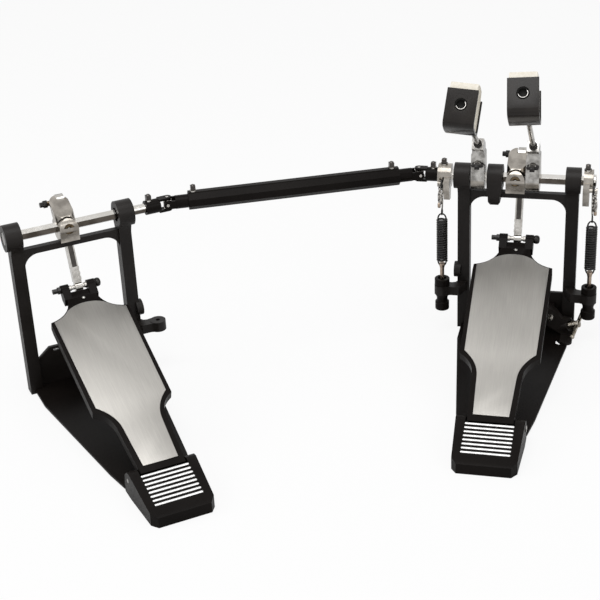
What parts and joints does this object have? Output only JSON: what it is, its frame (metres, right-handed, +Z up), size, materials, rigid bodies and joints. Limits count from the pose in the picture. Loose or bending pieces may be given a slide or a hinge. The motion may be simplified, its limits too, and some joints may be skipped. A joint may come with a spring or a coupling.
{
  "type": "double bass drum pedal",
  "caption": "Double bass drum pedal: a main stand with two sprung beaters, and a second footboard that turns one of them through a telescopic drive shaft.",
  "frame": {"origin": "on the floor under the main shaft, midway between the posts of the main stand", "axes": "+X to the player's right along the main shaft, +Y towards the drum, +Z up"},
  "size_m": [0.6557, 0.5139, 0.3795],
  "materials": {
    "cast_black": "satin black powder coat over a casting",
    "satin_black": "satin black powder coat",
    "rubber": "matte ribbed rubber",
    "tread_steel": "brushed lengthwise",
    "bright_rib": "polished",
    "zinc_steel": "bright zinc",
    "chrome": "polished",
    "satin_nickel": "satin nickel plate",
    "felt": "pressed wool felt",
    "shell_black": "semi gloss moulding",
    "copper": "copper coloured zinc",
    "spring_steel": "black oiled wire",
    "bearing_steel": "ground steel"
  },
  "bodies": {
    "main_stand": {"main_base_plate": "satin_black", "main_base_pad": "rubber", "main_frame": "cast_black", "main_heel_block": "cast_black", "main_heel_ribs": "bright_rib", "main_hinge_pin": "zinc_steel", "centre_bearing_bracket": "cast_black", "main_bearings": "bearing_steel", "spring_eyebolts": "copper", "spring_nuts": "satin_black", "clamp_arm": "cast_black", "clamp_pins": "zinc_steel", "right_spring": "spring_steel", "left_spring": "spring_steel"},
    "main_board": {"main_footboard": "cast_black", "main_tread_plate": "tread_steel", "main_toe_pin": "zinc_steel"},
    "main_link": {"main_link": "zinc_steel"},
    "right_axle": {"right_shaft": "chrome", "main_cam": "satin_nickel", "main_cam_bolts": "zinc_steel", "right_hub": "satin_nickel", "right_rocker": "satin_nickel", "right_key_bolts": "zinc_steel"},
    "right_beater": {"right_beater_rod": "chrome", "right_beater_shell": "shell_black", "right_beater_felt": "felt", "right_beater_screw": "chrome"},
    "right_hook": {"right_spring_hook": "chrome"},
    "left_axle": {"left_shaft": "chrome", "left_hub": "satin_nickel", "left_rocker": "satin_nickel", "left_yoke": "satin_black", "left_key_bolts": "zinc_steel"},
    "left_beater": {"left_beater_rod": "chrome", "left_beater_shell": "shell_black", "left_beater_felt": "felt", "left_beater_screw": "chrome"},
    "left_hook": {"left_spring_hook": "chrome"},
    "left_cross": {"left_cross": "zinc_steel"},
    "tube": {"right_fork": "satin_black", "drive_tube": "satin_black", "tube_bolts": "zinc_steel"},
    "hoop_jaw": {"hoop_jaw": "cast_black"},
    "clamp_screw": {"clamp_screw": "chrome"},
    "slave_stand": {"slave_base_plate": "satin_black", "slave_base_pad": "rubber", "slave_frame": "cast_black", "slave_heel_block": "cast_black", "slave_heel_ribs": "bright_rib", "slave_bearings": "bearing_steel"},
    "slave_fork": {"left_fork": "satin_black"},
    "slave_axle": {"slave_shaft": "chrome", "slave_cam": "satin_nickel", "slave_cam_bolts": "zinc_steel"},
    "slave_cross": {"slave_cross": "zinc_steel"},
    "slave_board": {"slave_footboard": "cast_black", "slave_tread_plate": "tread_steel", "slave_toe_pin": "zinc_steel"},
    "slave_link": {"slave_link": "zinc_steel"}
  },
  "joints": [
    {"name": "main_stroke", "type": "hinge", "parent": "main_stand", "child": "right_axle", "pos_m": [0, 0, 0.2], "axis": [1, 0, 0], "range_deg": [-45, 0], "stiffness_Nm_per_rad": 1.2, "springref_deg": 14.32},
    {"name": "main_board_hinge", "type": "hinge", "parent": "main_stand", "child": "main_board", "pos_m": [0, -0.2633, 0.0203], "axis": [1, 0, 0], "range_deg": [-6.2, 0]},
    {"name": "main_link_pivot", "type": "hinge", "parent": "main_board", "child": "main_link", "pos_m": [0, -0.00701, 0.12465], "axis": [1, 0, 0], "range_deg": [0, 8.6]},
    {"name": "right_hook_slide", "type": "slide", "parent": "main_stand", "child": "right_hook", "axis": [0, 0.2482, 0.9687], "range_m": [0, 0.0165], "deforming": ["right_spring"]},
    {"name": "right_beater_height", "type": "slide", "parent": "right_axle", "child": "right_beater", "axis": [0, -0.788, 0.6157], "range_m": [-0.02, 0.02]},
    {"name": "drive_length", "type": "slide", "parent": "main_stand", "child": "slave_stand", "axis": [-0.913, -0.4079, 0], "range_m": [-0.008, 0.09]},
    {"name": "slave_stroke", "type": "hinge", "parent": "slave_stand", "child": "slave_axle", "pos_m": [-0.4894, -0.1974, 0.2], "axis": [0.788, 0.6157, 0], "range_deg": [-45, 0], "stiffness_Nm_per_rad": 1.2, "springref_deg": 14.32},
    {"name": "slave_board_hinge", "type": "hinge", "parent": "slave_stand", "child": "slave_board", "pos_m": [-0.3273, -0.40488, 0.0203], "axis": [0.788, 0.6157, 0], "range_deg": [-6.2, 0]},
    {"name": "slave_link_pivot", "type": "hinge", "parent": "slave_board", "child": "slave_link", "pos_m": [-0.48508, -0.20293, 0.12465], "axis": [0.788, 0.6157, 0], "range_deg": [0, 8.6]},
    {"name": "slave_fork_turn", "type": "hinge", "parent": "slave_stand", "child": "slave_fork", "pos_m": [-0.3946, -0.12334, 0.2], "axis": [0.913, 0.4079, 0], "range_deg": [-45, 0]},
    {"name": "slave_cross_tilt", "type": "hinge", "parent": "slave_axle", "child": "slave_cross", "pos_m": [-0.3946, -0.12334, 0.2], "axis": [0, 0, 1], "range_deg": [-1, 5]},
    {"name": "tube_turn", "type": "hinge", "parent": "main_stand", "child": "tube", "pos_m": [-0.1185, 0, 0.2], "axis": [0.913, 0.4079, 0], "range_deg": [-45, 0]},
    {"name": "left_turn", "type": "hinge", "parent": "main_stand", "child": "left_axle", "pos_m": [0, 0, 0.2], "axis": [1, 0, 0], "range_deg": [-45, 0]},
    {"name": "left_cross_tilt", "type": "hinge", "parent": "left_axle", "child": "left_cross", "pos_m": [-0.1185, 0, 0.2], "axis": [0, 0, 1], "range_deg": [-8, 1]},
    {"name": "left_beater_height", "type": "slide", "parent": "left_axle", "child": "left_beater", "axis": [0, -0.8271, 0.5621], "range_m": [-0.02, 0.02]},
    {"name": "left_hook_slide", "type": "slide", "parent": "main_stand", "child": "left_hook", "axis": [0, 0.2482, 0.9687], "range_m": [0, 0.0165], "deforming": ["left_spring"]},
    {"name": "clamp_screw_turn", "type": "hinge", "parent": "main_stand", "child": "clamp_screw", "pos_m": [0.062, -0.0176, 0.0168], "axis": [0.839, -0.3753, 0.3939], "range_deg": [-90, 0]},
    {"name": "hoop_jaw_tilt", "type": "hinge", "parent": "main_stand", "child": "hoop_jaw", "pos_m": [0, 0.009, 0.04], "axis": [1, 0, 0], "range_deg": [-10, 0]}
  ],
  "couplings": [
    {"joint": "main_board_hinge", "follows": "main_stroke", "ratio": 0.1355},
    {"joint": "main_link_pivot", "follows": "main_stroke", "ratio": -0.1894},
    {"joint": "right_hook_slide", "follows": "main_stroke", "m_per_rad": -0.020672},
    {"joint": "slave_board_hinge", "follows": "slave_stroke", "ratio": 0.1355},
    {"joint": "slave_link_pivot", "follows": "slave_stroke", "ratio": -0.1894},
    {"joint": "slave_fork_turn", "follows": "slave_stroke", "ratio": 1},
    {"joint": "slave_cross_tilt", "follows": "slave_stroke", "ratio": -0.087},
    {"joint": "tube_turn", "follows": "slave_stroke", "ratio": 1},
    {"joint": "left_turn", "follows": "slave_stroke", "ratio": 1},
    {"joint": "left_cross_tilt", "follows": "slave_stroke", "ratio": 0.147},
    {"joint": "left_hook_slide", "follows": "slave_stroke", "m_per_rad": -0.020672},
    {"joint": "hoop_jaw_tilt", "follows": "clamp_screw_turn", "ratio": 0.1}
  ]
}
